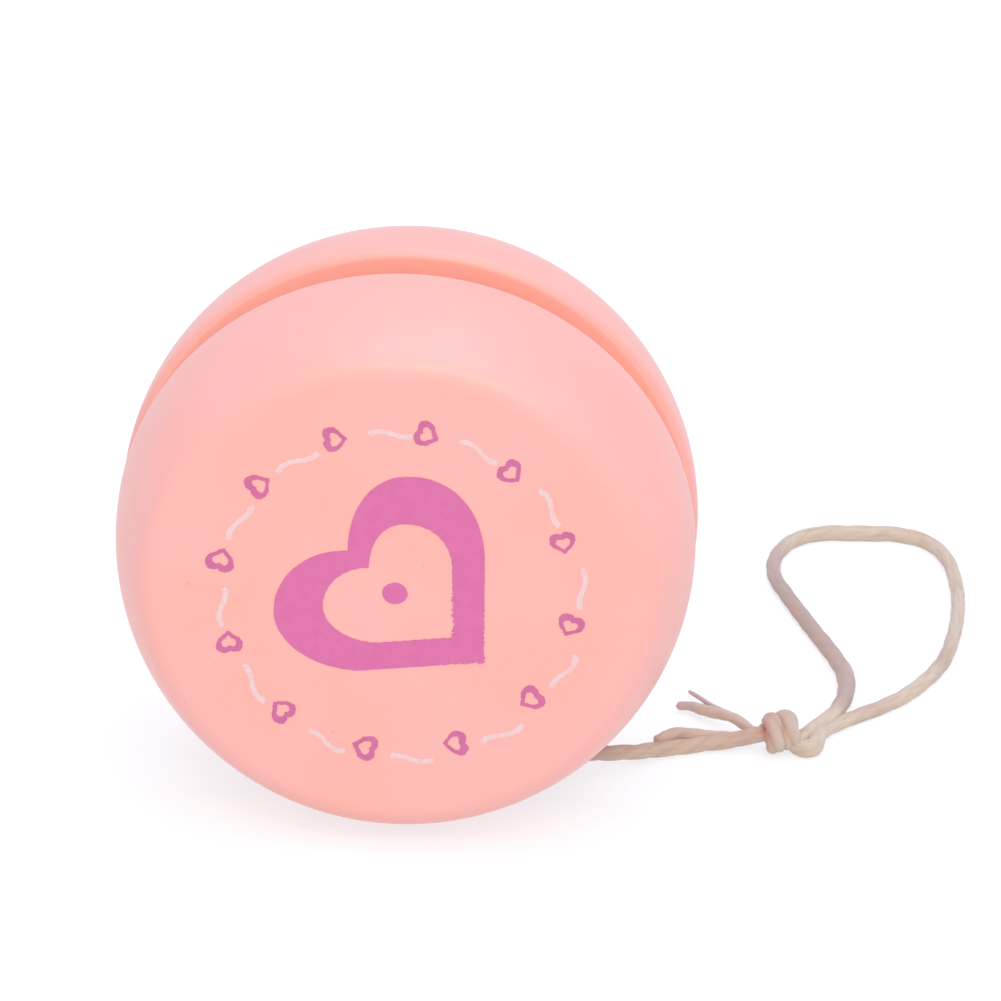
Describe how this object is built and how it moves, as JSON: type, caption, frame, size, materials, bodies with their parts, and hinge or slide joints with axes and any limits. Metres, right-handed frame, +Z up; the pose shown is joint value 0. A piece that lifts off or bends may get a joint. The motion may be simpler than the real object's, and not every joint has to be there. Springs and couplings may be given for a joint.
{
  "type": "yo-yo",
  "caption": "Small painted wooden yo-yo standing on its rims, with round shouldered halves, a dowel axle and a cotton string with a knotted finger loop.",
  "frame": {"origin": "on the surface that the rims stand on, under the middle of the axle", "axes": "+Z up, Y along the axle with the printed front face towards -Y, +X towards the side where the string lies"},
  "size_m": [0.0696, 0.0629, 0.047],
  "materials": {
    "rose_paint": "satin rose paint on turned wood, with a printed decoration in purple and off-white ink on the front face",
    "bare_wood": "bare sanded wood",
    "cotton_string": "natural unbleached twisted cotton"
  },
  "bodies": {
    "string": {"string_winding": "cotton_string", "string_lead": "cotton_string", "loop_knot": "cotton_string", "finger_loop": "cotton_string", "frayed_tail": "cotton_string"},
    "wooden_body": {"front_half": "rose_paint", "back_half": "rose_paint", "axle_dowel": "bare_wood"}
  },
  "joints": [
    {"name": "spin", "type": "hinge", "parent": "string", "child": "wooden_body", "pos_m": [0, 0, 0.0235], "axis": [0, 1, 0], "continuous": true}
  ]
}
